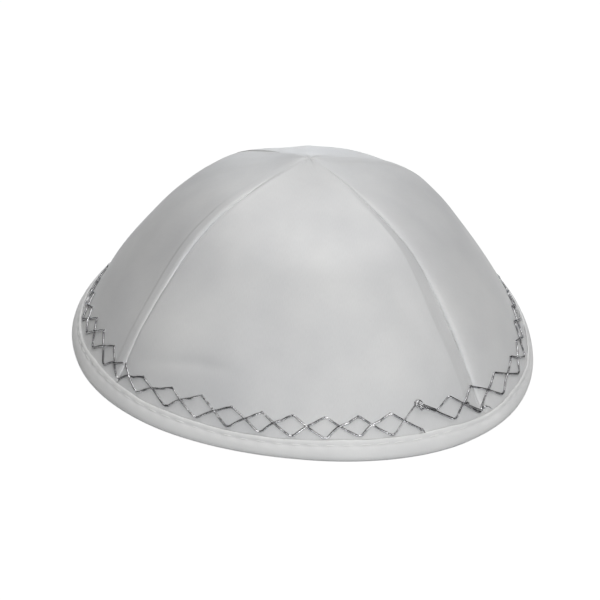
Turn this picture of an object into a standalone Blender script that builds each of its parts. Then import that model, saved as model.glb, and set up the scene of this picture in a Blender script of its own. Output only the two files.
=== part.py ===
"""A satin skullcap of four sewn panels, standing on its rim.

Four quarter panels meet in seams that run from the crown down to the rim. Each is a thin wall, and the
seam allowance under it shows as a low raised strip along one of its two seams. A folded binding holds the
lower edges of all four panels and carries the cap. Metres, +Z up, with the front panel facing -Y.
"""

import bisect
import math

import bmesh
import bpy

# Driving dimensions
RIM_RADIUS = 0.0812  # from the crown's axis to the panels' lower edge, on average
CROWN_HEIGHT = 0.0640  # from the floor to the top of the crown
PANEL_WALL = 0.0016  # satin, stiffener and backing together
SEAM_GAP = 0.0003  # between the sewn edges of two panels
CROWN_TIP = 0.0005  # how far from the axis the panels' tips end
CROWN_AXIS = (-0.00113, 0.00123)  # where the crown stands over the middle of the rim's width and depth

ALLOWANCE_WIDTH = 0.0032  # the raised strip beside each seam
ALLOWANCE_EDGE = 0.0010  # over which the strip falls to the panel
ALLOWANCE_RISE = 0.0005
ALLOWANCE_FADE = 0.0040  # above the binding, where the strip sinks to nothing
ALLOWANCE_CROWN = 0.0220  # out from the crown, where it rises from nothing
ALLOWANCE_SHARE = 0.22  # the most of a panel's width that the strip takes near the crown

BINDING_WIDTH = 0.0043  # up the slope from the panels' lower edge
BINDING_WALL = 0.0010
BINDING_LIP = 0.0005  # the wall at the tape's two upper edges
BINDING_GAP = 0.0003  # to the panels that it holds
PANEL_FOOT = BINDING_WALL + BINDING_GAP  # height of the panels' lower edge

# Fineness of the solids
PANEL_COLUMNS = 18
PANEL_ROWS = 22
BINDING_STATIONS = 96
LEG_STEPS = 3
FOLD_STEPS = 2
WALK_STEPS = 24
SLOPE_NUDGE = 0.01  # the share of the reach over which a slope is taken

WHITE_SATIN = (0.86, 0.86, 0.87, 1.0)
WHITE_TAPE = (0.84, 0.84, 0.83, 1.0)

# One row a seam, anticlockwise from above: its bearing in degrees from +X, and the rim's reach there as
# a share of RIM_RADIUS.
SEAMS = (
    {"bearing": -138.0, "rim": 1.010},
    {"bearing": -44.0, "rim": 1.070},
    {"bearing": 37.0, "rim": 1.018},
    {"bearing": 130.0, "rim": 0.958},
)

# One row a panel, each from the seam of the same row to the next: the rim's reach in its middle, as a
# share of RIM_RADIUS, and how far the wall sinks just above a rim that is bent outwards, as a share of
# the height above the panels' foot.
PANELS = (
    {"name": "front_panel", "rim": 0.998, "flare": 0.000},
    {"name": "right_panel", "rim": 1.008, "flare": 0.006},
    {"name": "back_panel", "rim": 0.976, "flare": 0.006},
    {"name": "left_panel", "rim": 0.973, "flare": 0.034},
)

# The cap's form. At each share of the way out from the crown to the rim, the height along a seam and
# down the middle of a panel, as shares of the height above the panels' foot.
PROFILE = (
    {"reach": 0.00, "seam": 1.000, "panel": 1.000},
    {"reach": 0.15, "seam": 0.966, "panel": 0.951},
    {"reach": 0.30, "seam": 0.915, "panel": 0.887},
    {"reach": 0.45, "seam": 0.841, "panel": 0.806},
    {"reach": 0.60, "seam": 0.708, "panel": 0.683},
    {"reach": 0.75, "seam": 0.484, "panel": 0.471},
    {"reach": 0.88, "seam": 0.256, "panel": 0.251},
    {"reach": 0.945, "seam": 0.112, "panel": 0.115},
    {"reach": 1.00, "seam": 0.000, "panel": 0.000},
)
CREASED_TO = 0.75  # the seams are creased out to this reach, and round off from there to the rim
FLARE_FROM = 0.82  # a flared panel sinks between this reach and the rim


def slopes(reaches, values):
    """The slope at each row of a smooth curve through them, level at the crown."""
    steps = [b - a for a, b in zip(reaches, reaches[1:])]
    rises = [(b - a) / step for a, b, step in zip(values, values[1:], steps)]
    found = [0.0]
    for near, far, step, next_step in zip(rises, rises[1:], steps, steps[1:]):
        found.append((near * next_step + far * step) / (step + next_step))
    found.append(2 * rises[-1] - found[-1])
    return found


REACHES = [row["reach"] for row in PROFILE]
HEIGHTS = {line: [row[line] for row in PROFILE] for line in ("seam", "panel")}
SLOPES = {line: slopes(REACHES, HEIGHTS[line]) for line in HEIGHTS}


def height_share(line, reach):
    """Height along a seam or a panel's middle at this reach, as a share."""
    row = min(max(bisect.bisect_right(REACHES, reach) - 1, 0), len(REACHES) - 2)
    step = REACHES[row + 1] - REACHES[row]
    along = (reach - REACHES[row]) / step
    low, high = HEIGHTS[line][row], HEIGHTS[line][row + 1]
    low_slope, high_slope = SLOPES[line][row], SLOPES[line][row + 1]
    return (
        low * (1 + 2 * along) * (1 - along) ** 2
        + step * low_slope * along * (1 - along) ** 2
        + high * along**2 * (3 - 2 * along)
        - step * high_slope * along**2 * (1 - along)
    )


def panel_span(number):
    """The bearings, in degrees, of the two seams of a panel."""
    start = SEAMS[number]["bearing"]
    end = SEAMS[(number + 1) % len(SEAMS)]["bearing"]
    return start, end if end > start else end + 360.0


def place_on_panel(bearing):
    """The panel at a bearing, and the share of the way across it."""
    for number in range(len(PANELS)):
        start, end = panel_span(number)
        turned = (bearing - start) % 360.0
        if turned <= end - start:
            return number, turned / (end - start)
    return 0, 0.0


def rim_reach(number, across):
    """The rim's reach on a panel, as a share of RIM_RADIUS: round at the seams."""
    start = SEAMS[number]["rim"]
    end = SEAMS[(number + 1) % len(SEAMS)]["rim"]
    middle = PANELS[number]["rim"]
    even = start + (end - start) * across**2 * (3 - 2 * across)
    return even + (middle - (start + end) / 2) * math.sin(math.pi * across) ** 2


def belly(reach, across):
    """How far a point has left the seams for the middle of its panel, from 0 to 1."""
    creased = 1 - (2 * across - 1) ** 2
    rounded = math.sin(math.pi * across) ** 2
    round_share = min(max((reach - CREASED_TO) / (1 - CREASED_TO), 0.0), 1.0)
    return creased + (rounded - creased) * round_share


def flare_dip(number, across, reach):
    """The share of the height by which a flared panel's wall sinks here."""
    if reach <= FLARE_FROM:
        return 0.0
    along = (reach - FLARE_FROM) / (1 - FLARE_FROM)
    return PANELS[number]["flare"] * (math.sin(math.pi * across) * math.sin(math.pi * along)) ** 2


def form_point(number, across, reach, inside=0.0):
    """Distance from the axis and height on the cap's outer form, or on the same form drawn this much smaller."""
    radius = (RIM_RADIUS - inside) * rim_reach(number, across) * reach
    seam = height_share("seam", reach)
    share = seam + (height_share("panel", reach) - seam) * belly(reach, across)
    share -= flare_dip(number, across, reach)
    return radius, PANEL_FOOT + (CROWN_HEIGHT - PANEL_FOOT - inside) * share


def walk_up(number, across, distances):
    """The reaches at these distances up the slope from the rim, nearest first."""
    reach, walked, found = 1.0, 0.0, []
    step = 2 * max(distances) / RIM_RADIUS / WALK_STEPS
    here = form_point(number, across, reach)
    for distance in distances:
        while walked < distance:
            there = form_point(number, across, reach - step)
            length = math.dist(here, there)
            if walked + length > distance:
                break
            walked, reach, here = walked + length, reach - step, there
        there = form_point(number, across, reach - step)
        found.append(reach - step * (distance - walked) / math.dist(here, there))
    return found


def at_bearing(radius, bearing, height):
    """A point from its distance to the crown's axis, its bearing in degrees and its height."""
    turn = math.radians(bearing)
    x, y = CROWN_AXIS
    return (x + radius * math.cos(turn), y + radius * math.sin(turn), height)


def smooth_fall(share):
    """Falls from 1 at or below 0 to 0 at or above 1, level at both ends."""
    share = min(max(share, 0.0), 1.0)
    return 1 - share**2 * (3 - 2 * share)


def material(name, colour, roughness, metallic=0.0):
    made = bpy.data.materials.new(name)
    made.use_nodes = True
    made.diffuse_color = colour
    shader = made.node_tree.nodes["Principled BSDF"]
    shader.inputs["Base Color"].default_value = colour
    shader.inputs["Roughness"].default_value = roughness
    shader.inputs["Metallic"].default_value = metallic
    return made


def add_object(name, form, finish, collection):
    """Turns a bmesh into a smooth-shaded object of the cap."""
    mesh = bpy.data.meshes.new(name)
    form.to_mesh(mesh)
    form.free()
    mesh.shade_smooth()
    mesh.set_sharp_from_angle(angle=math.radians(40))
    mesh.materials.append(finish)
    made = bpy.data.objects.new(name, mesh)
    collection.objects.link(made)
    return made


def column_angles(number, reach):
    """The bearings of a panel's columns at this reach: even, then three close ones for the allowance strip."""
    start, end = panel_span(number)
    start_radius = form_point(number, 0.0, reach)[0]
    end_radius = form_point(number, 1.0, reach)[0]
    start += math.degrees(math.asin(SEAM_GAP / 2 / start_radius))
    end -= math.degrees(math.asin(SEAM_GAP / 2 / end_radius))
    strip = math.degrees(ALLOWANCE_WIDTH / end_radius)
    strip = min(strip, ALLOWANCE_SHARE * (end - start))
    edge = strip * ALLOWANCE_EDGE / ALLOWANCE_WIDTH
    even = PANEL_COLUMNS - 2
    inner_end = end - strip - edge
    found = [start + (inner_end - start) * column / even for column in range(even + 1)]
    return found + [end - strip, end]


def strip_rise(number, column, reach):
    """How far the allowance strip lifts this column of a panel."""
    if column < PANEL_COLUMNS - 1:
        return 0.0
    under, clear = walk_up(number, 1.0, (BINDING_WIDTH, BINDING_WIDTH + ALLOWANCE_FADE))
    risen = 1 - smooth_fall(reach * RIM_RADIUS / ALLOWANCE_CROWN)
    return ALLOWANCE_RISE * risen * smooth_fall((reach - clear) / (under - clear))


def make_panel(number, finish, collection):
    """One quarter of the crown: a flat slab of columns and rows, bent to the cap's form."""
    slab = bmesh.new()
    bmesh.ops.create_grid(slab, x_segments=PANEL_COLUMNS, y_segments=PANEL_ROWS, size=0.5)
    bmesh.ops.solidify(slab, geom=slab.faces[:], thickness=1.0)
    bmesh.ops.recalc_face_normals(slab, faces=slab.faces)
    start, end = panel_span(number)
    tip_reach = CROWN_TIP / RIM_RADIUS
    for vertex in slab.verts:
        column = round((vertex.co.x + 0.5) * PANEL_COLUMNS)
        rows_up = round((vertex.co.y + 0.5) * PANEL_ROWS)
        outside = vertex.co.z > -0.5
        reach = 1 - (1 - tip_reach) * rows_up / PANEL_ROWS
        bearing = column_angles(number, reach)[column]
        across = (bearing - start) / (end - start)
        inside = -strip_rise(number, column, reach) if outside else PANEL_WALL
        radius, height = form_point(number, across, reach, inside)
        vertex.co = at_bearing(radius, bearing, height)
    return add_object(PANELS[number]["name"], slab, finish, collection)


def leg_line(number, across, reaches, inside, offsets):
    """Points so far out from the form, square to its slope, in the upright plane of one bearing."""
    found = []
    for reach, offset in zip(reaches, offsets):
        radius, height = form_point(number, across, reach, inside)
        near_radius, near_height = form_point(number, across, reach - SLOPE_NUDGE, inside)
        run, fall = radius - near_radius, near_height - height
        length = math.hypot(run, fall)
        found.append((radius + offset * fall / length, height + offset * run / length))
    return found


def fold_line(above, corner, turn):
    """The round fold from a leg's last two points to the floor, turning inwards (-1) or outwards (1)."""
    run = (corner[0] - above[0]) / (above[1] - corner[1])
    touch = (corner[0] + run * corner[1], 0.0)
    end = (touch[0] + turn * math.dist(corner, touch), 0.0)
    found = []
    for step in range(1, FOLD_STEPS + 2):
        along = step / (FOLD_STEPS + 1)
        weights = ((1 - along) ** 2, 2 * along * (1 - along), along**2)
        radius = sum(w * point[0] for w, point in zip(weights, (corner, touch, end)))
        height = sum(w * point[1] for w, point in zip(weights, (corner, touch, end)))
        found.append((radius, height))
    return found


def binding_section(bearing):
    """The folded binding's closed cross-section at a bearing: distances from the axis and heights."""
    number, across = place_on_panel(bearing)
    distances = [BINDING_WIDTH * step / LEG_STEPS for step in range(LEG_STEPS + 1)]
    reaches = walk_up(number, across, distances)[::-1]
    slots = [BINDING_GAP] * len(reaches)
    faces = [BINDING_GAP + BINDING_LIP] + [BINDING_GAP + BINDING_WALL] * LEG_STEPS
    outer_face = leg_line(number, across, reaches, 0.0, faces)
    outer_slot = leg_line(number, across, reaches, 0.0, slots)
    inner_face = leg_line(number, across, reaches, PANEL_WALL, [-offset for offset in faces])
    inner_slot = leg_line(number, across, reaches, PANEL_WALL, [-offset for offset in slots])
    outer_slot[-1] = (outer_slot[-1][0], BINDING_WALL)
    inner_slot[-1] = (inner_slot[-1][0], BINDING_WALL)
    outer_fold = fold_line(*outer_face[-2:], turn=-1)
    inner_fold = fold_line(*inner_face[-2:], turn=1)
    inside = inner_face + inner_fold
    outside = outer_face + outer_fold
    return inside + outside[::-1] + outer_slot + inner_slot[::-1]


def make_binding(finish, collection):
    """The tape folded over the panels' lower edges: a ring whose section changes with the bearing."""
    points_each = len(binding_section(0.0))
    bpy.ops.mesh.primitive_torus_add(
        major_segments=BINDING_STATIONS, minor_segments=points_each
    )
    ring = bpy.context.object
    form = bmesh.new()
    form.from_mesh(ring.data)
    bpy.data.objects.remove(ring)
    form.verts.ensure_lookup_table()
    for station in range(BINDING_STATIONS):
        bearing = 360.0 * station / BINDING_STATIONS
        section = binding_section(bearing)
        for number, (radius, height) in enumerate(section):
            vertex = form.verts[station * points_each + number]
            vertex.co = at_bearing(radius, bearing, height)
    return add_object("rim_binding", form, finish, collection)


def main():
    for leftover in list(bpy.data.objects):
        bpy.data.objects.remove(leftover)
    collection = bpy.data.collections.new("skullcap")
    bpy.context.scene.collection.children.link(collection)
    satin = material("white_satin", WHITE_SATIN, 0.38)
    for number in range(len(PANELS)):
        make_panel(number, satin, collection)
    tape = material("white_tape", WHITE_TAPE, 0.5)
    make_binding(tape, collection)


main()
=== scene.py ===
import bisect
import math
import random

import bpy
from mathutils import Matrix, Vector, noise


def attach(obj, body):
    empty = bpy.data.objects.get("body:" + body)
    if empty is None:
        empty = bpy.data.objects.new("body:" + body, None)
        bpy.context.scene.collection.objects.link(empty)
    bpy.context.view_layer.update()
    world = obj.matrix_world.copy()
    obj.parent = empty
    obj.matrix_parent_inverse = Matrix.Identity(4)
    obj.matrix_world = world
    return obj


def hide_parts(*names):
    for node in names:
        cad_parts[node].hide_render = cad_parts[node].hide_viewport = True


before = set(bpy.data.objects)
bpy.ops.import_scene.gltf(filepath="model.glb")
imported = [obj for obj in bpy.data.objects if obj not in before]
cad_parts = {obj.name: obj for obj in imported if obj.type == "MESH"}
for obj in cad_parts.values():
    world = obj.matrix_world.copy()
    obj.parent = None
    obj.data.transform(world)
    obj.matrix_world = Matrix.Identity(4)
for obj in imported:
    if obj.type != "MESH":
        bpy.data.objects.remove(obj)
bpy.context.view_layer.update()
print("skullcap: frame loaded")

# the cap's form, the same rows as its solids

cap = {
    "rimRadius": 0.0812,
    "crownHeight": 0.0640,
    "foot": 0.0013,  # the panels' lower edge above the table
    "wall": 0.0016,
    "axis": (-0.00113, 0.00123),
    "creasedTo": 0.75,
    "flareFrom": 0.82,
}

seams = [  # degrees round, rim share, then shares of the raised strip and the groove, valley in m
    {"bearing": -138.0, "rim": 1.010, "strip": 1.0, "groove": 0.66, "valley": 0.0},
    {"bearing": -44.0, "rim": 1.070, "strip": 0.3, "groove": 0.22, "valley": 0.0016},
    {"bearing": 37.0, "rim": 1.018, "strip": 0.8, "groove": 0.60, "valley": 0.0004},
    {"bearing": 130.0, "rim": 0.958, "strip": 0.3, "groove": 0.35, "valley": 0.0},
]

panels = [
    {"name": "front_panel", "rim": 0.998, "flare": 0.000},
    {"name": "right_panel", "rim": 1.008, "flare": 0.006},
    {"name": "back_panel", "rim": 0.976, "flare": 0.006},
    {"name": "left_panel", "rim": 0.973, "flare": 0.034},
]

profile = [  # share of the reach, height on a seam, height down a panel's middle
    (0.00, 1.000, 1.000),
    (0.15, 0.966, 0.951),
    (0.30, 0.915, 0.887),
    (0.45, 0.841, 0.806),
    (0.60, 0.708, 0.683),
    (0.75, 0.484, 0.471),
    (0.88, 0.256, 0.251),
    (0.945, 0.112, 0.115),
    (1.00, 0.000, 0.000),
]


def smoothStep(share):
    share = min(max(share, 0.0), 1.0)
    return share * share * (3 - 2 * share)


def newObject(name, data):
    made = bpy.data.objects.new(name, data)
    bpy.context.scene.collection.objects.link(made)
    return made


def rowSlopes(values):
    reaches = [row[0] for row in profile]
    steps = [b - a for a, b in zip(reaches, reaches[1:])]
    rises = [(b - a) / step for a, b, step in zip(values, values[1:], steps)]
    found = [0.0]
    for near, far, step, nextStep in zip(rises, rises[1:], steps, steps[1:]):
        found.append((near * nextStep + far * step) / (step + nextStep))
    found.append(2 * rises[-1] - found[-1])
    return found


profileReaches = [row[0] for row in profile]
seamLine = ([row[1] for row in profile], rowSlopes([row[1] for row in profile]))
middleLine = ([row[2] for row in profile], rowSlopes([row[2] for row in profile]))


def lineHeight(line, reach):
    values, slopes = line
    row = min(max(bisect.bisect_right(profileReaches, reach) - 1, 0), len(values) - 2)
    step = profileReaches[row + 1] - profileReaches[row]
    t = (reach - profileReaches[row]) / step
    return (
        values[row] * (1 + 2 * t) * (1 - t) ** 2
        + step * slopes[row] * t * (1 - t) ** 2
        + values[row + 1] * t * t * (3 - 2 * t)
        - step * slopes[row + 1] * t * t * (1 - t)
    )


def panelSpan(number):
    start = seams[number]["bearing"]
    end = seams[(number + 1) % 4]["bearing"]
    return start, end if end > start else end + 360.0


def placeOnPanel(bearing):
    for number in range(4):
        start, end = panelSpan(number)
        turned = (bearing - start) % 360.0
        if turned <= end - start:
            return number, turned / (end - start)
    return 0, 0.0


def rimReach(number, across):
    start, end = seams[number]["rim"], seams[(number + 1) % 4]["rim"]
    even = start + (end - start) * across * across * (3 - 2 * across)
    return even + (panels[number]["rim"] - (start + end) / 2) * math.sin(math.pi * across) ** 2


def formPoint(number, across, reach, inside=0.0):
    radius = (cap["rimRadius"] - inside) * rimReach(number, across) * reach
    swell = math.sin(math.pi * across) ** 2
    creased = 1 - (2 * across - 1) ** 2
    rounded = min(max((reach - cap["creasedTo"]) / (1 - cap["creasedTo"]), 0.0), 1.0)
    belly = creased + (swell - creased) * rounded
    seam = lineHeight(seamLine, reach)
    share = seam + (lineHeight(middleLine, reach) - seam) * belly
    if reach > cap["flareFrom"]:
        along = (reach - cap["flareFrom"]) / (1 - cap["flareFrom"])
        share -= panels[number]["flare"] * swell * math.sin(math.pi * along) ** 2
    height = cap["foot"] + (cap["crownHeight"] - cap["foot"] - inside) * share
    start, end = panelSpan(number)
    turn = math.radians(start + (end - start) * across)
    x, y = cap["axis"]
    return Vector((x + radius * math.cos(turn), y + radius * math.sin(turn), height))


def formFrame(number, across, reach):
    point = formPoint(number, across, reach)
    side = 0.002 if across < 0.5 else -0.002
    beside = formPoint(number, across + side, reach)
    below = formPoint(number, across, reach + 0.002)
    normal = (beside - point).cross(point - below) * (1 if side > 0 else -1)
    return point, normal.normalized()


# how far up the slope each reach lies, read once down the front panel's middle
climb = [0.0]
for step in range(200):
    climb.append(
        climb[-1] + (formPoint(0, 0.5, 1 - step / 200) - formPoint(0, 0.5, 1 - (step + 1) / 200)).length
    )


def upOf(reach):
    place = min(max((1 - reach) * 200, 0.0), 199.999)
    row = int(place)
    return climb[row] + (climb[row + 1] - climb[row]) * (place - row)


def reachAt(up):
    row = min(max(bisect.bisect_right(climb, up) - 1, 0), 199)
    return 1 - (row + (up - climb[row]) / (climb[row + 1] - climb[row])) / 200


# the silver zigzag: where its threads turn, charted round the rim

zigzag = {
    "turns": 46,
    "hiddenTop": 12.6,  # mm up the slope, round the back
    "hiddenBottom": 5.6,
    "wander": 0.35,
    "joinTurn": 10,
    "radius": 0.0770,  # of the round that the threads are charted on
    "seed": 11,
}

turnChart = [  # degrees round, mm up the slope of the upper and of the lower turn
    {"bearing": 200.3, "top": 14.2, "bottom": 6.8},
    {"bearing": 207.5, "top": 14.5, "bottom": 6.8},
    {"bearing": 215.2, "top": 13.8, "bottom": 6.2},
    {"bearing": 222.0, "top": 12.0, "bottom": 6.0},
    {"bearing": 229.4, "top": 11.6, "bottom": 5.9},
    {"bearing": 238.2, "top": 12.4, "bottom": 5.9},
    {"bearing": 246.3, "top": 13.1, "bottom": 5.5},
    {"bearing": 254.2, "top": 11.9, "bottom": 5.1},
    {"bearing": 261.7, "top": 11.8, "bottom": 5.2},
    {"bearing": 269.0, "top": 12.1, "bottom": 5.1},
    {"bearing": 276.6, "top": 12.1, "bottom": 5.1},
    {"bearing": 284.3, "top": 12.4, "bottom": 5.9},
    {"bearing": 291.8, "top": 12.7, "bottom": 5.5},
    {"bearing": 298.5, "top": 14.3, "bottom": 6.3},
    {"bearing": 307.0, "top": 14.1, "bottom": 6.4},
    {"bearing": 314.8, "top": 14.0, "bottom": 4.9},
    {"bearing": 323.8, "top": 13.2, "bottom": 5.4},
    {"bearing": 334.2, "top": 11.7, "bottom": 4.9},
    {"bearing": 342.5, "top": 11.1, "bottom": 4.3},
]
chartedFrom = 3  # the row of the chart that is turn 0


def turnRow(turn):
    row = (turn + chartedFrom) % zigzag["turns"]
    if row < len(turnChart):
        return turnChart[row]
    first, last = turnChart[0]["bearing"] + 360, turnChart[-1]["bearing"]
    hidden = zigzag["turns"] - len(turnChart) + 1
    rng = random.Random(row)
    bearing = last + (first - last) * (row - len(turnChart) + 1) / hidden + rng.uniform(-0.3, 0.3)
    return {
        "bearing": bearing,
        "top": zigzag["hiddenTop"] + rng.uniform(-1, 1) * zigzag["wander"],
        "bottom": zigzag["hiddenBottom"] + rng.uniform(-1, 1) * zigzag["wander"],
    }


def turnBearing(turn):
    lap = (turn + chartedFrom) // zigzag["turns"]
    return turnRow(turn)["bearing"] + 360 * lap


def turnUp(turn, top):
    return turnRow(turn)["top" if top else "bottom"] / 1000


needleHoles = []
for turn in range(zigzag["turns"]):
    for top in (True, False):
        needleHoles.append((turnBearing(turn), turnUp(turn, top)))

tapeEdge = [  # degrees round, mm up the slope that the tape reaches
    (0, 3.0),
    (60, 3.8),
    (130, 4.6),
    (180, 4.8),
    (202, 4.7),
    (214, 5.5),
    (232, 4.8),
    (262, 4.2),
    (284, 5.0),
    (303, 5.1),
    (317, 3.8),
    (326, 4.1),
    (340, 3.2),
]


def tapeHeight(bearing):
    bearing %= 360
    rows = tapeEdge + [(tapeEdge[0][0] + 360, tapeEdge[0][1])]
    for (b0, h0), (b1, h1) in zip(rows, rows[1:]):
        if bearing <= b1:
            return (h0 + (h1 - h0) * smoothStep((bearing - b0) / (b1 - b0))) / 1000


# satin: what the cloth does on top of the plain form

satin = {
    "middleColumns": 84,
    "startColumns": 8,
    "endColumns": 18,
    "rows": 124,
    "startZone": 0.0034,
    "endZone": 0.0066,
    "seamDip": 0.00055,
    "seamStitch": 0.0031,
    "seamSideReach": 0.0035,
    "grooveRoll": 0.0006,
    "foldRoll": 0.0006,
    "wedgeTop": 0.0018,  # the shaded slope on a valley seam's left
    "wedgeGrowth": 0.0046,
    "stripWidth": 0.0040,
    "stripEdge": 0.0013,
    "stripRise": 0.00028,
    "stripFade": 0.015,
    "crownFade": 0.010,
    "rimFade": 0.004,
    "pucker": 0.00018,
    "puckerEvery": 0.0065,
    "gather": 0.00014,
    "gatherReach": 0.007,
    "needlePull": 0.00016,
    "needleReach": 0.0011,
    "grain": 0.00006,
    "billow": 0.00075,
    "streak": 0.00020,
    "crownDip": 0.0004,
    "tipReach": 0.0006,
    "insideStrip": 0.0042,
    "insideRise": 0.00045,
    "insideWander": 0.00022,
    "valleyShare": 0.75,  # of its depth that falls softly, the rest sharply
    "valleySoft": 0.0026,
    "valleySharp": 0.0006,
    "stitchRipple": 0.08,
    "gatherEvery": 0.0055,
    "billowSize": 0.030,
    "grainSize": 0.009,
    "streakWide": 0.016,
    "streakLong": 0.060,
    "crownDipReach": 0.0018,
    "tipFold": 0.00018,
    "tipFoldReach": 0.006,
}

softDents = [  # a line of bearings and heights up the slope in mm, depth and width in mm
    {
        "panel": 0,
        "line": [(-135.0, 13.5), (-127.0, 18.5), (-117.0, 21.8), (-105.0, 22.5)],
        "depth": 0.46,
        "width": 2.0,
    },
    {"panel": 0, "line": [(-135.0, 10.0), (-124.0, 14.0), (-112.0, 16.0)], "depth": -0.22, "width": 3.6},
    {"panel": 0, "line": [(-61.0, 56.0), (-56.0, 38.0), (-52.0, 20.0)], "depth": 0.36, "width": 3.6},
    {"panel": 0, "line": [(-68.0, 47.0), (-62.0, 32.0), (-56.0, 20.0)], "depth": -0.16, "width": 4.0},
    {"panel": 0, "line": [(-76.0, 76.0), (-79.0, 48.0), (-83.0, 18.0)], "depth": -0.34, "width": 8.5},
    {"panel": 0, "line": [(-93.0, 62.0), (-98.0, 46.0), (-101.0, 32.0)], "depth": 0.20, "width": 7.0},
    {"panel": 0, "line": [(-70.0, 62.0), (-70.0, 44.0), (-72.0, 27.0)], "depth": 0.14, "width": 6.0},
    {"panel": 1, "line": [(-36.0, 44.0), (-32.0, 28.0), (-29.0, 16.0)], "depth": 0.28, "width": 5.5},
    {"panel": 1, "line": [(-18.0, 60.0), (-13.0, 40.0), (-10.0, 20.0)], "depth": -0.22, "width": 7.5},
    {"panel": 3, "line": [(-150.0, 60.0), (-147.0, 38.0), (-146.0, 18.0)], "depth": 0.32, "width": 5.5},
    {"panel": 3, "line": [(-165.0, 58.0), (-162.0, 36.0), (-160.0, 18.0)], "depth": -0.20, "width": 6.5},
    {"panel": 2, "line": [(44.0, 80.0), (108.0, 80.0)], "depth": -1.05, "width": 13.0},
    {"panel": 2, "line": [(129.0, 98.0), (128.0, 82.0), (128.0, 58.0)], "depth": 0.55, "width": 7.0},
    {"panel": 3, "line": [(131.0, 98.0), (132.0, 82.0), (132.0, 58.0)], "depth": 0.55, "width": 7.0},
    {"panel": 2, "line": [(72.0, 20.0), (84.0, 26.0), (96.0, 27.0)], "depth": 0.30, "width": 4.0},
    {"panel": 2, "line": [(112.0, 52.0), (116.0, 34.0), (120.0, 18.0)], "depth": 0.30, "width": 4.5},
    {"panel": 3, "line": [(162.0, 18.0), (172.0, 25.0), (184.0, 26.0)], "depth": 0.24, "width": 4.5},
]


def dentLift(number, bearing, up, radius):
    lift = 0.0
    for dent in softDents:
        if dent["panel"] != number:
            continue
        nearest, along = None, 0.0
        legs = len(dent["line"]) - 1
        for leg, ((b0, u0), (b1, u1)) in enumerate(zip(dent["line"], dent["line"][1:])):
            turned = (bearing - b0 + 180) % 360 - 180
            x, y = math.radians(turned) * radius * 1000, up * 1000 - u0
            dx, dy = math.radians(b1 - b0) * radius * 1000, u1 - u0
            t = min(max((x * dx + y * dy) / (dx * dx + dy * dy), 0.0), 1.0)
            away = math.hypot(x - dx * t, y - dy * t)
            if nearest is None or away < nearest:
                nearest, along = away, (leg + t) / legs
        taper = smoothStep(3 * min(along, 1 - along) + 0.15)
        lift -= dent["depth"] / 1000 * taper * math.exp(-((nearest / dent["width"]) ** 2))
    return lift


def needlePull(bearing, up, radius):
    pull = 0.0
    if 0.002 < up < 0.017:
        for holeBearing, holeUp in needleHoles:
            turned = (bearing - holeBearing + 180) % 360 - 180
            if abs(turned) < 2.5:
                away = math.hypot(math.radians(turned) * radius, up - holeUp)
                pull += math.exp(-((away / satin["needleReach"]) ** 2))
    return pull


def clothLift(number, across, reach, point):
    start, end = panelSpan(number)
    span = math.radians(end - start)
    radius = cap["rimRadius"] * rimReach(number, across) * reach
    width = span * radius
    fromStart, fromEnd = across * width, (1 - across) * width
    up = upOf(reach)
    down = climb[-1] - up
    bearing = start + (end - start) * across
    crown = smoothStep(down / satin["crownFade"])
    edge = tapeHeight(bearing)
    free = smoothStep((up - 0.0025) / 0.006)
    lift = 0.0
    wedge = satin["wedgeTop"] + satin["wedgeGrowth"] * smoothStep((down - 0.015) / 0.060)
    for away, seam, roll in (
        (fromStart, number, satin["grooveRoll"]),
        (fromEnd, (number + 1) % 4, satin["foldRoll"]),
    ):
        drawn = seams[seam]["valley"] * free * smoothStep((down - 0.012) / 0.030)
        if seam == number:
            share = satin["valleyShare"]
            soft, sharp = math.exp(-away / satin["valleySoft"]), math.exp(-away / satin["valleySharp"])
            lift -= drawn * (share * soft + (1 - share) * sharp)
        else:
            lift -= drawn * max(1 - away / wedge, 0.0)
        dip = satin["seamDip"] * (0.35 + 0.65 * crown) * seams[seam]["groove"]
        dip *= 1 + satin["stitchRipple"] * math.cos(math.tau * up / satin["seamStitch"] + seam)
        lift -= dip * math.exp(-((away / roll) ** 2))
        ripple = noise.noise(Vector((up / satin["puckerEvery"], seam * 9.7, away / 0.03)))
        lift += satin["pucker"] * crown * ripple * math.exp(-away / satin["seamSideReach"])
    strip = min(satin["stripWidth"], 0.40 * width)
    fall = min(satin["stripEdge"], 0.12 * width)
    shown = smoothStep((up - edge) / satin["rimFade"]) * smoothStep((down - 0.004) / satin["stripFade"])
    bulge = seams[(number + 1) % 4]["strip"] * (1 - smoothStep((fromEnd - strip + fall / 2) / fall))
    lift += satin["stripRise"] * shown * bulge
    side = (across - 0.5) * span * cap["rimRadius"]
    gather = noise.noise(Vector((side / satin["gatherEvery"], 3.1 + number, up / 0.02)))
    lift += satin["gather"] * gather * math.exp(-max(up - edge, 0) / satin["gatherReach"])
    billowAt = point / satin["billowSize"] + Vector((number * 5.0, 0, 0))
    lift += satin["billow"] * crown * free * noise.noise(billowAt)
    lift += satin["grain"] * free * noise.noise(point / satin["grainSize"])
    streak = Vector((side / satin["streakWide"], number * 7.0, up / satin["streakLong"]))
    lift += satin["streak"] * smoothStep((down - 0.008) / 0.035) * free * noise.noise(streak)
    lift += free * smoothStep((down - 0.002) / 0.012) * dentLift(number, bearing, up, radius)
    lift -= satin["needlePull"] * needlePull(bearing, up, radius)
    lift -= satin["crownDip"] * math.exp(-((down / satin["crownDipReach"]) ** 2))
    folds = math.sin(math.pi * (2 * across - 0.5) * 2 + number) * math.exp(-down / satin["tipFoldReach"])
    return lift + satin["tipFold"] * folds * smoothStep(down / 0.0015)


def satinPoint(number, across, reach, above=0.0):
    point, normal = formFrame(number, across, reach)
    return point + normal * (clothLift(number, across, reach, point) + above), normal


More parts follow.
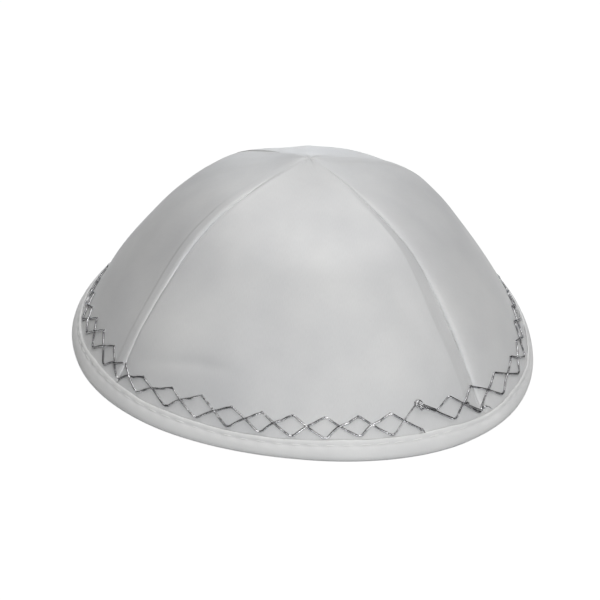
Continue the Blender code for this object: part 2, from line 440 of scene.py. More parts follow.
def insidePoint(number, across, reach, width):
    point = formPoint(number, across, reach, cap["wall"])
    normal = formFrame(number, across, reach)[1]
    fromSeam = min(across, 1 - across) * width
    strip = min(satin["insideStrip"], 0.25 * width)
    shown = smoothStep((upOf(reach) - 0.006) / 0.004)
    rise = satin["insideRise"] * (1 - smoothStep((fromSeam - strip) / 0.001))
    rise += satin["insideWander"] * noise.noise(point / 0.022 + Vector((0, number * 3.0, 4.0)))
    return point - normal * rise * shown


def columnShares(width):
    startZone = min(satin["startZone"] / width, 0.18)
    endZone = min(satin["endZone"] / width, 0.30)
    counts = satin["startColumns"], satin["middleColumns"], satin["endColumns"]
    stops = 0.0, startZone, 1 - endZone, 1.0
    shares = [0.0]
    for count, low, high in zip(counts, stops, stops[1:]):
        shares += [low + (high - low) * (column + 1) / count for column in range(count)]
    return shares


def makePanel(number, finish):
    start, end = panelSpan(number)
    rows = satin["rows"]
    reaches = [reachAt(climb[-1] * row / rows) for row in range(rows)] + [satin["tipReach"]]
    outer, inner, charts = [], [], []
    for reach in reaches:
        width = math.radians(end - start) * cap["rimRadius"] * rimReach(number, 0.5) * reach
        for share in columnShares(width):
            point, normal = satinPoint(number, share, reach)
            outer.append(point)
            inner.append(insidePoint(number, share, reach, width))
            charts.append(((share - 0.5) * width, upOf(reach)))
    columns = len(outer) // len(reaches)
    total = len(outer)
    faces = []
    for row in range(len(reaches) - 1):
        for column in range(columns - 1):
            a = row * columns + column
            faces.append((a, a + 1, a + columns + 1, a + columns))
            faces.append((total + a, total + a + columns, total + a + columns + 1, total + a + 1))
    last = total - columns
    for column in range(columns - 1):
        faces.append((column, total + column, total + column + 1, column + 1))
        a = last + column
        faces.append((a, a + 1, total + a + 1, total + a))
    for row in range(len(reaches) - 1):
        a, b = row * columns, (row + 1) * columns
        faces.append((a, b, total + b, total + a))
        a, b = a + columns - 1, b + columns - 1
        faces.append((a, total + a, total + b, b))
    mesh = bpy.data.meshes.new(panels[number]["name"] + "_satin")
    mesh.from_pydata(outer + inner, [], faces)
    chart = mesh.uv_layers.new(name="cloth")
    for loop in mesh.loops:
        chart.data[loop.index].uv = charts[loop.vertex_index % total]
    mesh.shade_smooth()
    mesh.materials.append(finish)
    piece = newObject(mesh.name, mesh)
    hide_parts(panels[number]["name"])
    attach(piece, "root")


# materials


def feed(tree, node, inputs):
    for key, value in inputs.items():
        if isinstance(value, bpy.types.NodeSocket):
            tree.links.new(value, node.inputs[key])
        else:
            node.inputs[key].default_value = value


def put(tree, kind, inputs=None, **settings):
    node = tree.nodes.new(kind)
    for key, value in settings.items():
        setattr(node, key, value)
    feed(tree, node, inputs or {})
    return node


def newFinish(name):
    finish = bpy.data.materials.new(name)
    finish.use_nodes = True
    tree = finish.node_tree
    return finish, tree, tree.nodes["Principled BSDF"]


def objectPlace(tree):
    return put(tree, "ShaderNodeTexCoord").outputs["Object"]


def noiseOn(tree, where, scale, detail=2.0):
    inputs = {"Vector": where, "Scale": scale, "Detail": detail}
    return put(tree, "ShaderNodeTexNoise", inputs).outputs["Fac"]


def noiseAlongCloth(tree, scale):
    chart = put(tree, "ShaderNodeUVMap", uv_map="cloth").outputs["UV"]
    stretched = put(tree, "ShaderNodeMapping", {"Vector": chart, "Scale": scale}).outputs["Vector"]
    return noiseOn(tree, stretched, 1.0)


def shadeBetween(tree, amount, dark, pale, low=0.3, high=0.7):
    ramp = put(tree, "ShaderNodeValToRGB", {"Fac": amount})
    first, last = ramp.color_ramp.elements
    first.position, first.color = low, (*dark, 1)
    last.position, last.color = high, (*pale, 1)
    return ramp.outputs["Color"]


def bumpFrom(tree, height, strength, distance, **under):
    inputs = {"Height": height, "Strength": strength, "Distance": distance, **under}
    return put(tree, "ShaderNodeBump", inputs).outputs["Normal"]


def makeSatin():
    finish, tree, shader = newFinish("white_satin")
    floats = noiseAlongCloth(tree, (5200, 620, 1))
    slubs = noiseAlongCloth(tree, (260, 30, 1))
    cloud = noiseOn(tree, objectPlace(tree), 30.0, 3.0)
    tint = shadeBetween(tree, cloud, (0.742, 0.745, 0.755), (0.865, 0.865, 0.862))
    grain = put(
        tree,
        "ShaderNodeMix",
        {"Factor": 0.10, "A": tint, "B": floats},
        data_type="RGBA",
        blend_type="MULTIPLY",
    )
    gloss = put(tree, "ShaderNodeMapRange", {"To Min": 0.48, "To Max": 0.62, "Value": slubs})
    weave = bumpFrom(tree, floats, 0.16, 0.00004)
    lie = put(tree, "ShaderNodeTangent", direction_type="UV_MAP", uv_map="cloth")
    looks = {
        "Base Color": grain.outputs["Result"],
        "Roughness": gloss.outputs["Result"],
        "Normal": bumpFrom(tree, slubs, 0.25, 0.00012, Normal=weave),
        "Tangent": lie.outputs["Tangent"],
        "Metallic": 0.10,
        "Anisotropic": 0.5,
        "Specular IOR Level": 0.5,
        "Sheen Weight": 0.12,
        "Sheen Roughness": 0.4,
    }
    feed(tree, shader, looks)
    return finish


def makeTapeFinish():
    finish, tree, shader = newFinish("white_tape")
    cloud = noiseOn(tree, objectPlace(tree), 60.0)
    looks = {
        "Base Color": shadeBetween(tree, cloud, (0.82, 0.82, 0.82), (0.89, 0.89, 0.885)),
        "Normal": bumpFrom(tree, noiseAlongCloth(tree, (2600, 900, 1)), 0.3, 0.00008),
        "Roughness": 0.48,
        "Sheen Weight": 0.15,
    }
    feed(tree, shader, looks)
    return finish


def makeSilver():
    finish, tree, shader = newFinish("silver_thread")
    # the silver's colour is mottled dark and pale along the thread: partly the foil's own reflectance,
    # partly painted glints and painted dark reflections, so its dark end lies well below real silver
    foilAndGlints = noiseOn(tree, objectPlace(tree), 420.0)
    looks = {
        "Base Color": shadeBetween(tree, foilAndGlints, (0.20, 0.20, 0.21), (0.78, 0.78, 0.79), 0.38, 0.68),
        "Metallic": 1.0,
        "Roughness": 0.24,
    }
    feed(tree, shader, looks)
    return finish


def makeCotton():
    finish, tree, shader = newFinish("white_cotton")
    fibres = noiseOn(tree, objectPlace(tree), 2500.0)
    looks = {
        "Base Color": (0.88, 0.88, 0.87, 1),
        "Roughness": 0.6,
        "Normal": bumpFrom(tree, fibres, 0.4, 0.00005),
    }
    feed(tree, shader, looks)
    return finish


# geometry nodes


socketKinds = {
    float: "NodeSocketFloat",
    int: "NodeSocketInt",
    bpy.types.Material: "NodeSocketMaterial",
    type(None): "NodeSocketObject",  # an object is given later, when the tree is used
}


def newTree(name, sockets):
    tree = bpy.data.node_groups.new(name, "GeometryNodeTree")
    tree.interface.new_socket("Geometry", in_out="INPUT", socket_type="NodeSocketGeometry")
    for label, value in sockets.items():
        socket = tree.interface.new_socket(label, in_out="INPUT", socket_type=socketKinds[type(value)])
        if value is not None:
            socket.default_value = value
    tree.interface.new_socket("Geometry", in_out="OUTPUT", socket_type="NodeSocketGeometry")
    return tree, tree.nodes.new("NodeGroupInput"), tree.nodes.new("NodeGroupOutput")


def maths(tree, operation, *values):
    return put(tree, "ShaderNodeMath", dict(enumerate(values)), operation=operation).outputs[0]


def plus(tree, *values):
    return maths(tree, "ADD", *values)


def minus(tree, *values):
    return maths(tree, "SUBTRACT", *values)


def times(tree, *values):
    return maths(tree, "MULTIPLY", *values)


def vectorMaths(tree, operation, *values):
    return put(tree, "ShaderNodeVectorMath", dict(enumerate(values)), operation=operation).outputs[0]


def combined(tree, **axes):
    return put(tree, "ShaderNodeCombineXYZ", axes).outputs[0]


def scaled(tree, vector, amount):
    return put(tree, "ShaderNodeVectorMath", {0: vector, "Scale": amount}, operation="SCALE").outputs[0]


def keep(tree, geometry, name, value, kind="FLOAT_VECTOR", domain="POINT"):
    inputs = {"Geometry": geometry, "Name": name, "Value": value}
    node = put(tree, "GeometryNodeStoreNamedAttribute", inputs, data_type=kind, domain=domain)
    return node.outputs["Geometry"]


def randomBetween(tree, low, high, seed):
    inputs = {"Min": low, "Max": high, "Seed": seed}
    return put(tree, "FunctionNodeRandomValue", inputs, data_type="FLOAT").outputs["Value"]


def turnedTo(tree, facing, onward):
    axes = {"Primary Axis": facing, "Secondary Axis": onward}
    node = put(tree, "FunctionNodeAxesToRotation", axes, primary_axis="Z", secondary_axis="X")
    return node.outputs["Rotation"]


def recall(tree, name, kind="FLOAT_VECTOR"):
    node = put(tree, "GeometryNodeInputNamedAttribute", {"Name": name}, data_type=kind)
    return node.outputs["Attribute"]


def finishTree(tree, geometry, finish, out):
    smooth = put(tree, "GeometryNodeSetShadeSmooth", {"Geometry": geometry})
    whole = put(tree, "GeometryNodeRealizeInstances", {"Geometry": smooth.outputs[0]})
    dressed = put(tree, "GeometryNodeSetMaterial", {"Geometry": whole.outputs[0], "Material": finish})
    tree.links.new(dressed.outputs[0], out.inputs["Geometry"])


def grow(name, tree, values, host=None):
    mesh = host or bpy.data.meshes.new(name + "_host")
    carrier = newObject(name + "_host", mesh)
    modifier = carrier.modifiers.new("shape", "NODES")
    modifier.node_group = tree
    for item in tree.interface.items_tree:
        if item.in_out == "INPUT" and item.name in values:
            modifier[item.identifier] = values[item.name]
    graph = bpy.context.evaluated_depsgraph_get()
    grown = bpy.data.meshes.new_from_object(carrier.evaluated_get(graph))
    grown.name = name
    carrier.modifiers.remove(modifier)
    bpy.data.objects.remove(carrier)
    return newObject(name, grown)


def linkedCurve(name, points, closed):
    curve = bpy.data.curves.new(name, "CURVE")
    curve.dimensions = "3D"
    spline = curve.splines.new("POLY")
    spline.points.add(len(points) - 1)
    for spot, place in zip(spline.points, points):
        spot.co = (*place, 1)
    spline.use_cyclic_u = closed
    return newObject(name, curve)


# the band: the lowest part of the cap's form, charted so that trees can place things on it

band = {"columns": 360, "rows": 14, "height": 0.020}


def storeVectors(mesh, name, rows):
    layer = mesh.attributes.new(name, "FLOAT_VECTOR", "POINT")
    layer.data.foreach_set("vector", [value for row in rows for value in row])


def makeBand():
    points, outward, upward, edges, charts, faces = [], [], [], [], [], []
    for row in range(band["rows"] + 1):
        reach = reachAt(band["height"] * row / band["rows"])
        for column in range(band["columns"] + 1):
            number, across = placeOnPanel(360 * column / band["columns"])
            point, normal = formFrame(number, across, reach)
            above = formPoint(number, across, reach - 0.004)
            points.append(point)
            outward.append(normal)
            upward.append((above - point).normalized())
            edges.append((tapeHeight(360 * column / band["columns"]), 0, 0))
            charts.append((column / band["columns"], row / band["rows"]))
    wide = band["columns"] + 1
    for row in range(band["rows"]):
        for column in range(band["columns"]):
            a = row * wide + column
            faces.append((a, a + 1, a + wide + 1, a + wide))
    mesh = bpy.data.meshes.new("rim_band")
    mesh.from_pydata(points, [], faces)
    chart = mesh.uv_layers.new(name="chart")
    for loop in mesh.loops:
        chart.data[loop.index].uv = charts[loop.vertex_index]
    storeVectors(mesh, "outward", outward)
    storeVectors(mesh, "upward", upward)
    storeVectors(mesh, "tapeEdge", edges)
    return mesh


def bandSampler(tree, geometry):
    def onBand(what, around, up):
        share = maths(tree, "DIVIDE", up, band["height"])
        spot = combined(tree, X=around, Y=share)
        chart = recall(tree, "chart")
        sample = put(
            tree,
            "GeometryNodeSampleUVSurface",
            {"Mesh": geometry, "Value": what, "UV Map": chart, "Sample UV": spot},
            data_type="FLOAT_VECTOR",
        )
        return sample.outputs["Value"]

    return onBand


def placeOnBand(tree, geometry, around, up, out):
    onBand = bandSampler(tree, geometry)
    inside = maths(tree, "MAXIMUM", up, 0.00001)
    below = maths(tree, "MINIMUM", up, 0.0)
    point = onBand(put(tree, "GeometryNodeInputPosition").outputs[0], around, inside)
    normal = onBand(recall(tree, "outward"), around, inside)
    slope = onBand(recall(tree, "upward"), around, inside)
    point = vectorMaths(tree, "ADD", point, scaled(tree, normal, out))
    point = vectorMaths(tree, "ADD", point, scaled(tree, slope, below))
    return point, normal, slope


def edgeOnBand(tree, geometry, around):
    edge = bandSampler(tree, geometry)(recall(tree, "tapeEdge"), around, 0.00001)
    return put(tree, "ShaderNodeSeparateXYZ", {0: edge}).outputs["X"]


# rim tape: a folded strip whose section is drawn once and carried round the rim

tape = {
    "stations": 564,
    "sides": 30,
    "stitches": 94,
    "stitchFromEdge": 0.0016,
    "stitchDip": 0.00045,
    "stitchSpread": 0.0007,
    "middle": -0.0007,  # out of the satin, between the fold's two layers
    "sway": 0.0007,
    "swaySize": 9.0,
    "swayFrom": 0.0030,
    "length": 0.5102,
    "girth": 0.0160,
    "weld": 0.000004,
}

tapeSection = [  # mm up the slope from the panels' edge and mm out of the satin, once round
    (4.50, 0.45),
    (4.36, 0.90),
    (3.95, 1.06),
    (3.30, 0.90),
    (2.00, 0.98),
    (1.00, 1.02),
    (0.00, 0.96),
    (-0.80, 0.82),
    (-1.45, 0.30),
    (-1.95, -0.60),
    (-1.95, -1.50),
    (-1.40, -2.10),
    (-0.50, -2.40),
    (1.00, -2.45),
    (3.20, -2.45),
    (3.70, -2.30),
    (3.85, -1.95),
    (3.60, -1.60),
    (2.00, -1.50),
    (0.30, -1.45),
    (-0.35, -1.10),
    (-0.45, -0.50),
    (-0.20, -0.05),
    (1.50, 0.02),
    (4.10, 0.05),
]


def makeTape(bandMesh, finish):
    section = linkedCurve("tape_section", [(u / 1000, n / 1000, 0) for u, n in tapeSection], True)
    tree, given, out = newTree(
        "rim_tape",
        {
            "Section": None,
            "Stations": tape["stations"],
            "Sides": tape["sides"],
            "Drawn Height": tapeSection[0][0] / 1000,
            "Stitches": float(tape["stitches"]),
            "Stitch From Edge": tape["stitchFromEdge"],
            "Stitch Dip": tape["stitchDip"],
            "Finish": finish,
        },
    )
    grid = put(
        tree,
        "GeometryNodeMeshGrid",
        {
            "Size X": 1.0,
            "Size Y": 1.0,
            "Vertices X": plus(tree, given.outputs["Stations"], 1.0),
            "Vertices Y": plus(tree, given.outputs["Sides"], 1.0),
        },
    )
    spot = put(tree, "ShaderNodeSeparateXYZ", {0: put(tree, "GeometryNodeInputPosition").outputs[0]})
    around = plus(tree, spot.outputs["X"], 0.5)
    overFold = plus(tree, spot.outputs["Y"], 0.5)
    drawn = put(tree, "GeometryNodeObjectInfo", {"Object": given.outputs["Section"]})
    walk = put(
        tree,
        "GeometryNodeSampleCurve",
        {"Curves": drawn.outputs["Geometry"], "Factor": overFold},
        mode="FACTOR",
    )
    place = put(tree, "ShaderNodeSeparateXYZ", {0: walk.outputs["Position"]})
    up, outBy = place.outputs["X"], place.outputs["Y"]
    height = edgeOnBand(tree, given.outputs["Geometry"], around)
    stretch = maths(tree, "DIVIDE", height, given.outputs["Drawn Height"])
    up = times(tree, up, maths(tree, "MAXIMUM", stretch, maths(tree, "LESS_THAN", up, 0.0)))
    line = minus(tree, height, given.outputs["Stitch From Edge"])
    away = maths(tree, "DIVIDE", minus(tree, up, line), tape["stitchSpread"])
    pressed = maths(tree, "EXPONENT", times(tree, times(tree, away, away), -1.0))
    beat = times(tree, around, times(tree, given.outputs["Stitches"], math.tau))
    deep = maths(tree, "MULTIPLY_ADD", maths(tree, "COSINE", beat), 0.35, 0.65)
    dip = times(tree, times(tree, pressed, deep), given.outputs["Stitch Dip"])
    side = maths(tree, "SIGN", minus(tree, outBy, tape["middle"]))
    outBy = minus(tree, outBy, times(tree, dip, side))
    turn = times(tree, around, math.tau)
    ring = combined(
        tree,
        X=maths(tree, "COSINE", turn),
        Y=maths(tree, "SINE", turn),
        Z=times(tree, overFold, 0.5),
    )
    waves = noiseOn(tree, ring, tape["swaySize"])
    sway = times(tree, minus(tree, waves, 0.5), tape["sway"])
    share = maths(tree, "DIVIDE", up, tape["swayFrom"])
    above = maths(tree, "MINIMUM", maths(tree, "MAXIMUM", share, 0.0), 1.0)
    up = plus(tree, up, times(tree, sway, above))
    point, _, _ = placeOnBand(tree, given.outputs["Geometry"], around, up, outBy)
    corners = put(tree, "ShaderNodeSeparateXYZ", {0: point})
    flat = combined(
        tree,
        X=corners.outputs["X"],
        Y=corners.outputs["Y"],
        Z=maths(tree, "MAXIMUM", corners.outputs["Z"], 0.0),
    )
    chart = combined(
        tree,
        X=times(tree, around, tape["length"]),
        Y=times(tree, overFold, tape["girth"]),
    )
    charted = keep(tree, grid.outputs["Mesh"], "cloth", chart, "FLOAT2", "CORNER")
    moved = put(tree, "GeometryNodeSetPosition", {"Geometry": charted, "Position": flat})
    fold = {"Geometry": moved.outputs[0], "Distance": tape["weld"]}
    welded = put(tree, "GeometryNodeMergeByDistance", fold)
    finishTree(tree, welded.outputs[0], given.outputs["Finish"], out)
    piece = grow("rim_tape", tree, {"Section": section}, bandMesh.copy())
    bpy.data.objects.remove(section)
    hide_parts("rim_binding")
    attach(piece, "root")


# topstitching: one row outside, one row inside

topstitch = {
    "length": 0.0038,
    "thread": 0.00024,
    "sag": 0.00022,
    "slip": 0.00012,
    "outside": 0.00066,  # out of the satin
    "inside": -0.00230,
}


def makeStitches(bandMesh, finish):
    tree, given, out = newTree(
        "topstitch_row",
        {
            "Stitches": tape["stitches"],
            "From Edge": tape["stitchFromEdge"],
            "Out": topstitch["outside"],
            "Length": topstitch["length"],
            "Thread": topstitch["thread"],
            "Sag": topstitch["sag"],
            "Seed": 3,
            "Finish": finish,
        },
    )
    half = times(tree, given.outputs["Length"], 0.5)
    back = times(tree, half, -1.0)
    low = times(tree, given.outputs["Sag"], -1.0)
    arc = put(
        tree,
        "GeometryNodeCurveQuadraticBezier",
        {
            "Resolution": 6,
            "Start": combined(tree, X=back, Z=low),
            "Middle": combined(tree, Z=given.outputs["Sag"]),
            "End": combined(tree, X=half, Z=low),
        },
    )
    ring = put(
        tree,
        "GeometryNodeCurvePrimitiveCircle",
        {"Resolution": 7, "Radius": given.outputs["Thread"]},
        mode="RADIUS",
    )
    along = put(tree, "GeometryNodeSplineParameter").outputs["Factor"]
    swell = maths(tree, "SINE", times(tree, along, math.pi))
    body = put(
        tree,
        "GeometryNodeCurveToMesh",
        {
            "Curve": arc.outputs[0],
            "Profile Curve": ring.outputs[0],
            "Scale": maths(tree, "MULTIPLY_ADD", swell, 0.45, 0.55),
            "Fill Caps": True,
        },
    )
    points = put(tree, "GeometryNodeMeshLine", {"Count": given.outputs["Stitches"]}, mode="OFFSET")
    index = put(tree, "GeometryNodeInputIndex").outputs[0]
    around = maths(tree, "DIVIDE", plus(tree, index, 0.5), given.outputs["Stitches"])
    height = edgeOnBand(tree, given.outputs["Geometry"], around)
    up = minus(tree, height, given.outputs["From Edge"])
    slip = topstitch["slip"]
    up = plus(tree, up, randomBetween(tree, -slip, slip, given.outputs["Seed"]))
    point, normal, slope = placeOnBand(tree, given.outputs["Geometry"], around, up, given.outputs["Out"])
    moved = put(tree, "GeometryNodeSetPosition", {"Geometry": points.outputs[0], "Position": point})
    onward = vectorMaths(tree, "CROSS_PRODUCT", slope, normal)
    kept = keep(tree, moved.outputs[0], "onward", onward)
    kept = keep(tree, kept, "facing", normal)
    turned = turnedTo(tree, recall(tree, "facing"), recall(tree, "onward"))
    each = {"Points": kept, "Instance": body.outputs[0], "Rotation": turned}
    rows = put(tree, "GeometryNodeInstanceOnPoints", each)
    finishTree(tree, rows.outputs[0], given.outputs["Finish"], out)
    for name, side in (("topstitch_outside", "outside"), ("topstitch_inside", "inside")):
        piece = grow(name, tree, {"Out": topstitch[side]}, bandMesh.copy())
        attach(piece, "root")


# silver threads: two zigzags that cross between their turns

thread = {
    "wide": 0.00035,
    "flat": 0.00030,
    "twistEvery": 0.0019,
    "step": 0.00026,
    "rest": 0.00026,  # its middle above the satin
    "hump": 0.00034,  # where one thread climbs over the other
    "press": 0.00006,  # how much it presses the other one down
    "humpReach": 0.0009,
    "topRound": (0.0040, 0.0010),
    "bottomRound": (0.0012, 0.0012),
    "shoulder": 0.00040,  # how far a climbing stretch bows out
}


def chartToWorld(bearing, up, above):
    number, across = placeOnPanel(bearing)
    return satinPoint(number, across, reachAt(up), above)[0]


def charted(turn, top):
    return math.radians(turnBearing(turn)) * zigzag["radius"], turnUp(turn, top)


def roundedRoute(stops):
    route = [stops[0][:2]]
    for before, here, after in zip(stops, stops[1:], stops[2:]):
        corner = Vector(here[:2])
        backward, onward = Vector(before[:2]) - corner, Vector(after[:2]) - corner
        start = corner + backward.normalized() * min(here[2][0], backward.length * 0.45)
        end = corner + onward.normalized() * min(here[2][1], onward.length * 0.45)
        for step in range(7):
            t = step / 6
            route.append(tuple(start * (1 - t) ** 2 + corner * 2 * t * (1 - t) + end * t * t))
    route.append(stops[-1][:2])
    return route


def walkRoute(route, rng):
    walked = []
    for here, there in zip(route, route[1:]):
        here, there = Vector(here), Vector(there)
        run = there - here
        steps = max(1, round(run.length / 0.0007))
        bow = rng.uniform(-0.00026, 0.00034) if run.length > 0.004 else 0.0
        if run.length > 0.004 and run.y > 0:
            bow += thread["shoulder"]
        across = Vector((-run.y, run.x)).normalized()
        for step in range(steps):
            t = step / steps
            walked.append(here + run * t + across * bow * math.sin(math.pi * t))
    walked.append(Vector(route[-1]))
    return walked


crossings = []
for turn in range(zigzag["turns"]):
    middle = (turnBearing(turn) + turnBearing(turn + 1)) / 2
    tops = turnUp(turn, True) + turnUp(turn + 1, True)
    bottoms = turnUp(turn, False) + turnUp(turn + 1, False)
    crossings.append((middle, (tops + bottoms) / 4))


def layThread(name, stops, over, sizes, rng):
    points, thick = [], []
    radius = zigzag["radius"]
    for spot in walkRoute(roundedRoute(stops), rng):
        bearing, up = math.degrees(spot.x / radius), spot.y
        above = thread["rest"]
        for crossBearing, crossUp in crossings:
            turned = (bearing - crossBearing + 180) % 360 - 180
            if abs(turned) < 2.5:
                away = math.hypot(math.radians(turned) * radius, up - crossUp)
                hump = thread["hump"] if over else -thread["press"]
                above += hump * math.exp(-((away / thread["humpReach"]) ** 2))
        points.append(chartToWorld(bearing, up, above))
        size = 1.0
        for low, high, share in sizes:
            if low <= bearing <= high:
                size = share
        thick.append(size)
    return threadMesh(name, [(points, thick)])


def threadMesh(name, runs):
    vertices, edges, thick = [], [], []
    for points, sizes in runs:
        first = len(vertices)
        vertices += points
        thick += sizes
        edges += [(first + step, first + step + 1) for step in range(len(points) - 1)]
    mesh = bpy.data.meshes.new(name + "_route")
    mesh.from_pydata(vertices, edges, [])
    layer = mesh.attributes.new("thick", "FLOAT", "POINT")
    layer.data.foreach_set("value", thick)
    return mesh


def makeThreadTree(finish):
    tree, given, out = newTree(
        "twisted_thread",
        {
            "Wide": thread["wide"],
            "Flat": thread["flat"],
            "Twist Every": thread["twistEvery"],
            "Step": thread["step"],
            "Finish": finish,
        },
    )
    path = put(tree, "GeometryNodeMeshToCurve", {"Mesh": given.outputs["Geometry"]})
    even = put(
        tree,
        "GeometryNodeResampleCurve",
        {"Curve": path.outputs[0], "Length": given.outputs["Step"]},
        mode="LENGTH",
    )
    gone = put(tree, "GeometryNodeSplineParameter").outputs["Length"]
    turns = maths(tree, "DIVIDE", gone, given.outputs["Twist Every"])
    twisted = put(
        tree,
        "GeometryNodeSetCurveTilt",
        {"Curve": even.outputs[0], "Tilt": times(tree, turns, math.tau)},
    )
    ring = put(tree, "GeometryNodeCurvePrimitiveCircle", {"Resolution": 9, "Radius": 1.0}, mode="RADIUS")
    section = put(
        tree,
        "GeometryNodeTransform",
        {
            "Geometry": ring.outputs[0],
            "Scale": combined(tree, X=given.outputs["Wide"], Y=given.outputs["Flat"], Z=1.0),
        },
    )
    body = put(
        tree,
        "GeometryNodeCurveToMesh",
        {
            "Curve": twisted.outputs[0],
            "Profile Curve": section.outputs[0],
            "Scale": recall(tree, "thick", "FLOAT"),
            "Fill Caps": True,
        },
    )
    finishTree(tree, body.outputs[0], given.outputs["Finish"], out)
    return tree


join = {
    "looseEnd": (298.3, 0.0064),
    "restartBeside": 0.00055,  # the new thread starts this far beside the other
}

tangles = [  # bearing, up the slope, radius, loops, thickness
    {"at": (298.8, 0.0141), "radius": 0.00100, "loops": 4.3, "thick": 1.15},
    {"at": (299.5, 0.0128), "radius": 0.00066, "loops": 2.6, "thick": 1.0},
    {"at": (311.4, 0.0098), "radius": 0.00034, "loops": 1.7, "thick": 0.80},
    {"at": (316.3, 0.0060), "radius": 0.00040, "loops": 2.2, "thick": 0.85},
    {"at": (298.4, 0.0062), "radius": 0.00026, "loops": 1.4, "thick": 0.70},
]


def tangleRun(tangle, rng):
    points = []
    phase = rng.uniform(0, math.tau)
    bearing, up = tangle["at"]
    for step in range(60):
        t = step / 59
        turn = math.tau * tangle["loops"] * t + phase
        reach = tangle["radius"] * (0.72 + 0.34 * math.cos(math.tau * 3.3 * t + phase))
        side, rise = reach * math.cos(turn), reach * math.sin(turn) * 0.85
        above = 0.00034 + 0.00034 * (1 + math.sin(math.tau * 2.3 * t + phase))
        points.append(chartToWorld(bearing + math.degrees(side / zigzag["radius"]), up + rise, above))
    return points, [tangle["thick"]] * len(points)


tails = [  # bearings and heights up the slope, thickness, how far each end lifts
    {
        "stops": [(299.2, 0.0131), (303.2, 0.0102), (306.5, 0.0070)],
        "thick": 1.10,
        "rise": 0.00022,
    },
    {"stops": [(310.6, 0.0101), (313.0, 0.0078), (315.4, 0.0053)], "thick": 1.0, "rise": 0.00018},
    {"stops": [(316.4, 0.0062), (317.4, 0.0055), (317.9, 0.0043)], "thick": 0.5, "rise": 0.00025},
    {"stops": [(298.2, 0.0066), (298.9, 0.0058), (299.0, 0.0051)], "thick": 0.45, "rise": 0.00015},
]


def tailRun(tail):
    points = []
    stops, rise = tail["stops"], tail["rise"]
    for (b0, u0), (b1, u1) in zip(stops, stops[1:]):
        for step in range(10):
            t = step / 10
            points.append(chartToWorld(b0 + (b1 - b0) * t, u0 + (u1 - u0) * t, thread["rest"] + rise))
    points.append(chartToWorld(*stops[-1], thread["rest"] + rise * 1.6))
    return points, [tail["thick"]] * len(points)


def makeThreads(finish):
    rng = random.Random(zigzag["seed"])
    tree = makeThreadTree(finish)
    joinTurn, turns = zigzag["joinTurn"], zigzag["turns"]
    radius = zigzag["radius"]

    def stopAt(turn, top):
        return (*charted(turn, top), thread["topRound" if top else "bottomRound"])

    # the thread that lies under: from beside the knot once round to its loose end
    start = charted(joinTurn, True)
    crossed = [(a + b) / 2 for a, b in zip(start, charted(joinTurn + 1, False))]
    beside = join["restartBeside"]
    stops = [(start[0] + beside, start[1]), (crossed[0] + beside, crossed[1] + beside, (0.0008, 0.0008))]
    stops += [stopAt(turn, turn % 2 == 1) for turn in range(joinTurn + 1, joinTurn + turns)]
    looseBearing, looseUp = join["looseEnd"]
    stops.append((math.radians(looseBearing + 360) * radius, looseUp))
    middle = (turnBearing(joinTurn) + turnBearing(joinTurn + 1)) / 2
    fine = [(middle + 0.4, turnBearing(joinTurn + 1) - 1.0, 0.72)]
    under = layThread("thread_under", stops, False, fine, rng)

    # the thread that lies over: from the knot once round and back to it
    stops = [start]
    stops += [stopAt(turn, turn % 2 == 0) for turn in range(joinTurn + 1, joinTurn + turns)]
    stops.append((start[0] + math.tau * radius, start[1]))
    fine = [(turnBearing(joinTurn + turns - 1) + 0.6, turnBearing(joinTurn + turns), 0.72)]
    over = layThread("thread_over", stops, True, fine, rng)

    runs = [tangleRun(tangle, rng) for tangle in tangles]
    runs += [tailRun(tail) for tail in tails]
    knots = threadMesh("thread_knots", runs)
    for name, route in (("thread_under", under), ("thread_over", over), ("thread_knots", knots)):
        piece = grow("silver_" + name, tree, {}, route)
        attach(piece, "root")


# needle knots: one just above each upper turn

needleKnot = {
    "radius": 0.00042,
    "flat": 0.80,
    "widths": (0.75, 1.2),  # the narrowest and the widest, as shares
    "aboveTurn": -0.0003,
    "onward": 0.08,
}


def makeNeedleKnots(finish):
    points, facing = [], []
    for turn in range(zigzag["turns"]):
        bearing = turnBearing(turn) + needleKnot["onward"]
        up = turnUp(turn, True) + needleKnot["aboveTurn"]
        number, across = placeOnPanel(bearing)
        point, normal = satinPoint(number, across, reachAt(up))
        points.append(point)
        facing.append(normal)
    mesh = bpy.data.meshes.new("needle_places")
    mesh.from_pydata(points, [], [])
    storeVectors(mesh, "facing", facing)
    tree, given, out = newTree(
        "needle_knots",
        {
            "Radius": needleKnot["radius"],
            "Flat": needleKnot["flat"],
            "Seed": 5,
            "Finish": finish,
        },
    )
    ball = put(tree, "GeometryNodeMeshIcoSphere", {"Radius": given.outputs["Radius"], "Subdivisions": 2})
    turned = turnedTo(tree, recall(tree, "facing"), (0.0, 0.0, 1.0))
    grain = randomBetween(tree, *needleKnot["widths"], given.outputs["Seed"])
    size = combined(tree, X=grain, Y=1.0, Z=given.outputs["Flat"])
    placed = put(
        tree,
        "GeometryNodeInstanceOnPoints",
        {
            "Points": given.outputs["Geometry"],
            "Instance": ball.outputs["Mesh"],
            "Rotation": turned,
            "Scale": size,
        },
    )
    finishTree(tree, placed.outputs[0], given.outputs["Finish"], out)
    piece = grow("needle_knots", tree, {}, mesh)
    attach(piece, "root")


# the photographer's table, lights and camera

studio = {
    "floorSize": 40.0,
    "floorDrop": 0.00005,
    "floorGlow": 0.82,
    "ambient": 0.026,
    "ambientFrom": 0.1,  # the level, as a share of straight up, where it starts
    "bounceFrom": -0.6,
    "bounce": 0.18,  # what the table would throw back up
    "eye": (-0.0041, -0.3962, 0.2433),
    "lookAt": (-0.0016, 0.0, 0.0090),
    "roll": 3.233,  # degrees
    "lens": 77.25,
}

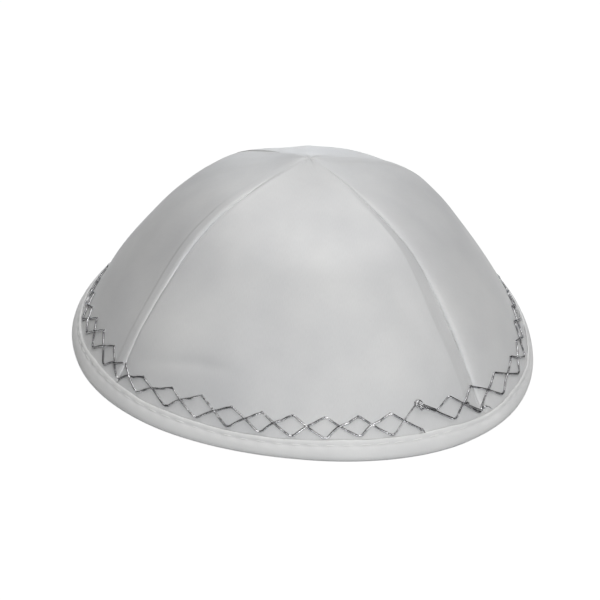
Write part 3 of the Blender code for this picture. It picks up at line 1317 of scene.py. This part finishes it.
lights = [
    {"name": "key", "from": (0.16, -1.25, 1.15), "size": 1.3, "power": 10.6, "tint": (1.0, 0.992, 0.972)},
    {"name": "top", "from": (0.10, 0.25, 1.60), "size": 1.2, "power": 12.6, "tint": (1.0, 1.0, 1.0)},
    {"name": "back", "from": (0.0, 1.90, 0.45), "size": 1.4, "power": 10.2, "tint": (0.90, 0.95, 1.0)},
    {"name": "low", "from": (0.45, -1.80, 0.12), "size": 0.9, "power": 10.6, "tint": (0.93, 0.962, 1.0)},
]


def hangLight(row):
    lamp = bpy.data.lights.new(row["name"], "AREA")
    lamp.shape = "DISK"
    lamp.size = row["size"]
    lamp.energy = row["power"]
    lamp.color = row["tint"]
    light = newObject(row["name"], lamp)
    place = Vector(row["from"])
    light.location = place
    light.rotation_euler = (Vector((0, 0, 0.03)) - place).to_track_quat("-Z", "Y").to_euler()


def makeStudio():
    half = studio["floorSize"] / 2
    low = -studio["floorDrop"]
    corners = [(-half, -half, low), (half, -half, low), (half, half, low), (-half, half, low)]
    mesh = bpy.data.meshes.new("table_top")
    mesh.from_pydata(corners, [], [(0, 1, 2, 3)])
    finish, tree, shader = newFinish("white_table")
    looks = {
        "Base Color": (0.30, 0.30, 0.30, 1),
        "Roughness": 0.9,
        "Emission Color": (1, 1, 1, 1),
        "Emission Strength": studio["floorGlow"],
    }
    feed(tree, shader, looks)
    mesh.materials.append(finish)
    floor = newObject("table_top", mesh)
    floor.visible_diffuse = False  # the table throws no light up under the cap
    for row in lights:
        hangLight(row)
    world = bpy.data.worlds.new("studio")
    world.use_nodes = True
    tree = world.node_tree
    way = put(tree, "ShaderNodeTexCoord").outputs["Generated"]
    level = put(tree, "ShaderNodeSeparateXYZ", {0: way}).outputs["Z"]
    glow = put(
        tree,
        "ShaderNodeMapRange",
        {
            "Value": level,
            "From Min": studio["bounceFrom"],
            "From Max": studio["ambientFrom"],
            "To Min": studio["bounce"],
            "To Max": studio["ambient"],
        },
    )
    feed(tree, tree.nodes["Background"], {"Color": (1, 1, 1, 1), "Strength": glow.outputs["Result"]})
    bpy.context.scene.world = world
    bpy.context.scene.view_settings.view_transform = "Standard"


def makeCamera():
    eye, target = Vector(studio["eye"]), Vector(studio["lookAt"])
    back = (eye - target).normalized()
    right = Vector((0, 0, 1)).cross(back).normalized()
    up = back.cross(right)
    roll = math.radians(studio["roll"])
    camX = right * math.cos(roll) + up * math.sin(roll)
    camY = up * math.cos(roll) - right * math.sin(roll)
    turned = Matrix((camX, camY, back)).transposed()
    lens = bpy.data.cameras.new("camera")
    lens.lens = studio["lens"]
    lens.sensor_width = 36.0
    lens.clip_start, lens.clip_end = 0.01, 50.0
    camera = newObject("camera", lens)
    camera.rotation_mode = "QUATERNION"
    camera.rotation_quaternion = turned.to_quaternion()
    camera.location = eye
    bpy.context.scene.camera = camera


satinFinish = makeSatin()
tapeFinish = makeTapeFinish()
silverFinish = makeSilver()
cottonFinish = makeCotton()
print("skullcap: finishes made")

for panelNumber in range(4):
    makePanel(panelNumber, satinFinish)
print("skullcap: satin panels sewn")

bandMesh = makeBand()
makeTape(bandMesh, tapeFinish)
makeStitches(bandMesh, cottonFinish)
print("skullcap: rim tape folded and stitched")

makeThreads(silverFinish)
makeNeedleKnots(silverFinish)
print("skullcap: silver zigzag laid")

makeStudio()
makeCamera()
print("skullcap: studio set")
